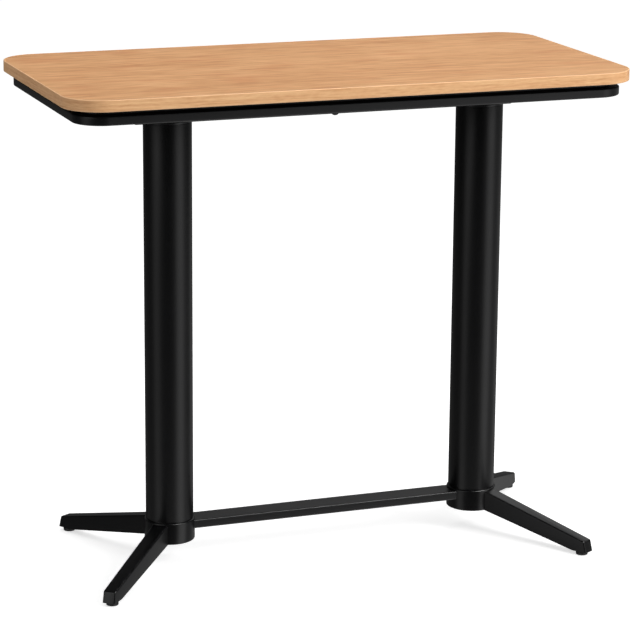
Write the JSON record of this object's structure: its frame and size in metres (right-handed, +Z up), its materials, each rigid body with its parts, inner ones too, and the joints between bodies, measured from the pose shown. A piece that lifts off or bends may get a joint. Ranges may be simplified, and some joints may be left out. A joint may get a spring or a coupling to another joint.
{
  "type": "bar table",
  "caption": "Bar-height table with a rounded wood-veneer top on a black tube frame, two round black columns with splayed cast feet and a flat foot rail.",
  "frame": {"origin": "on the floor, under the middle of the top", "axes": "+X along the top's long side, +Y across it towards the back, +Z up"},
  "size_m": [1.2, 0.6, 1.04],
  "materials": {
    "oak_veneer": "satin lacquer on a wood veneer, long fine grain",
    "oak_edge_band": "satin lacquer on a wood edge band",
    "black_powder_coat": "satin black powder coat on steel tube",
    "black_cast_iron": "satin black powder coat on cast iron",
    "black_plastic": "moulded nylon",
    "zinc_plated_steel": "bright zinc plating",
    "brass": "turned brass"
  },
  "bodies": {
    "table": {"table_top": "oak_veneer", "edge_band": "oak_edge_band", "under_frame": "black_powder_coat", "beam": "black_powder_coat", "stretcher_rail": "black_powder_coat", "frame_screw_front": "black_powder_coat", "frame_screw_back": "black_powder_coat", "column_left": "black_powder_coat", "column_cap_left": "black_cast_iron", "foot_left": "black_cast_iron", "rail_plug_left": "black_cast_iron", "beam_end_cap_left": "black_plastic", "rail_bolt_left": "zinc_plated_steel", "tie_rod_left": "zinc_plated_steel", "rod_washer_bottom_left": "zinc_plated_steel", "rod_washer_top_left": "zinc_plated_steel", "rod_nut_bottom_left": "zinc_plated_steel", "rod_nut_top_left": "zinc_plated_steel", "beam_bolt_left_front": "zinc_plated_steel", "top_bolt_left_front": "zinc_plated_steel", "insert_left_front": "brass", "beam_bolt_left_back": "zinc_plated_steel", "top_bolt_left_back": "zinc_plated_steel", "insert_left_back": "brass", "column_right": "black_powder_coat", "column_cap_right": "black_cast_iron", "foot_right": "black_cast_iron", "rail_plug_right": "black_cast_iron", "beam_end_cap_right": "black_plastic", "rail_bolt_right": "zinc_plated_steel", "tie_rod_right": "zinc_plated_steel", "rod_washer_bottom_right": "zinc_plated_steel", "rod_washer_top_right": "zinc_plated_steel", "rod_nut_bottom_right": "zinc_plated_steel", "rod_nut_top_right": "zinc_plated_steel", "beam_bolt_right_front": "zinc_plated_steel", "top_bolt_right_front": "zinc_plated_steel", "insert_right_front": "brass", "beam_bolt_right_back": "zinc_plated_steel", "top_bolt_right_back": "zinc_plated_steel", "insert_right_back": "brass"},
    "pad_left_front": {"glide_pad_left_front": "black_plastic"},
    "stud_left_front": {"glide_stud_left_front": "zinc_plated_steel"},
    "pad_left_back": {"glide_pad_left_back": "black_plastic"},
    "stud_left_back": {"glide_stud_left_back": "zinc_plated_steel"},
    "pad_right_front": {"glide_pad_right_front": "black_plastic"},
    "stud_right_front": {"glide_stud_right_front": "zinc_plated_steel"},
    "pad_right_back": {"glide_pad_right_back": "black_plastic"},
    "stud_right_back": {"glide_stud_right_back": "zinc_plated_steel"}
  },
  "joints": [
    {"name": "glide_height_left_front", "type": "slide", "parent": "table", "child": "pad_left_front", "axis": [0, 0, -1], "range_m": [0, 0.01]},
    {"name": "glide_turn_left_front", "type": "hinge", "parent": "pad_left_front", "child": "stud_left_front", "pos_m": [-0.51019, -0.22465, 0.008], "axis": [0, 0, -1], "range_deg": [0, 2880]},
    {"name": "glide_height_left_back", "type": "slide", "parent": "table", "child": "pad_left_back", "axis": [0, 0, -1], "range_m": [0, 0.01]},
    {"name": "glide_turn_left_back", "type": "hinge", "parent": "pad_left_back", "child": "stud_left_back", "pos_m": [-0.46828, 0.25444, 0.008], "axis": [0, 0, -1], "range_deg": [0, 2880]},
    {"name": "glide_height_right_front", "type": "slide", "parent": "table", "child": "pad_right_front", "axis": [0, 0, -1], "range_m": [0, 0.01]},
    {"name": "glide_turn_right_front", "type": "hinge", "parent": "pad_right_front", "child": "stud_right_front", "pos_m": [0.52028, -0.25444, 0.008], "axis": [0, 0, -1], "range_deg": [0, 2880]},
    {"name": "glide_height_right_back", "type": "slide", "parent": "table", "child": "pad_right_back", "axis": [0, 0, -1], "range_m": [0, 0.01]},
    {"name": "glide_turn_right_back", "type": "hinge", "parent": "pad_right_back", "child": "stud_right_back", "pos_m": [0.5622, 0.22465, 0.008], "axis": [0, 0, -1], "range_deg": [0, 2880]}
  ],
  "couplings": [
    {"joint": "glide_height_left_front", "follows": "glide_turn_left_front", "m_per_rad": 0.00019894},
    {"joint": "glide_height_left_back", "follows": "glide_turn_left_back", "m_per_rad": 0.00019894},
    {"joint": "glide_height_right_front", "follows": "glide_turn_right_front", "m_per_rad": 0.00019894},
    {"joint": "glide_height_right_back", "follows": "glide_turn_right_back", "m_per_rad": 0.00019894}
  ]
}
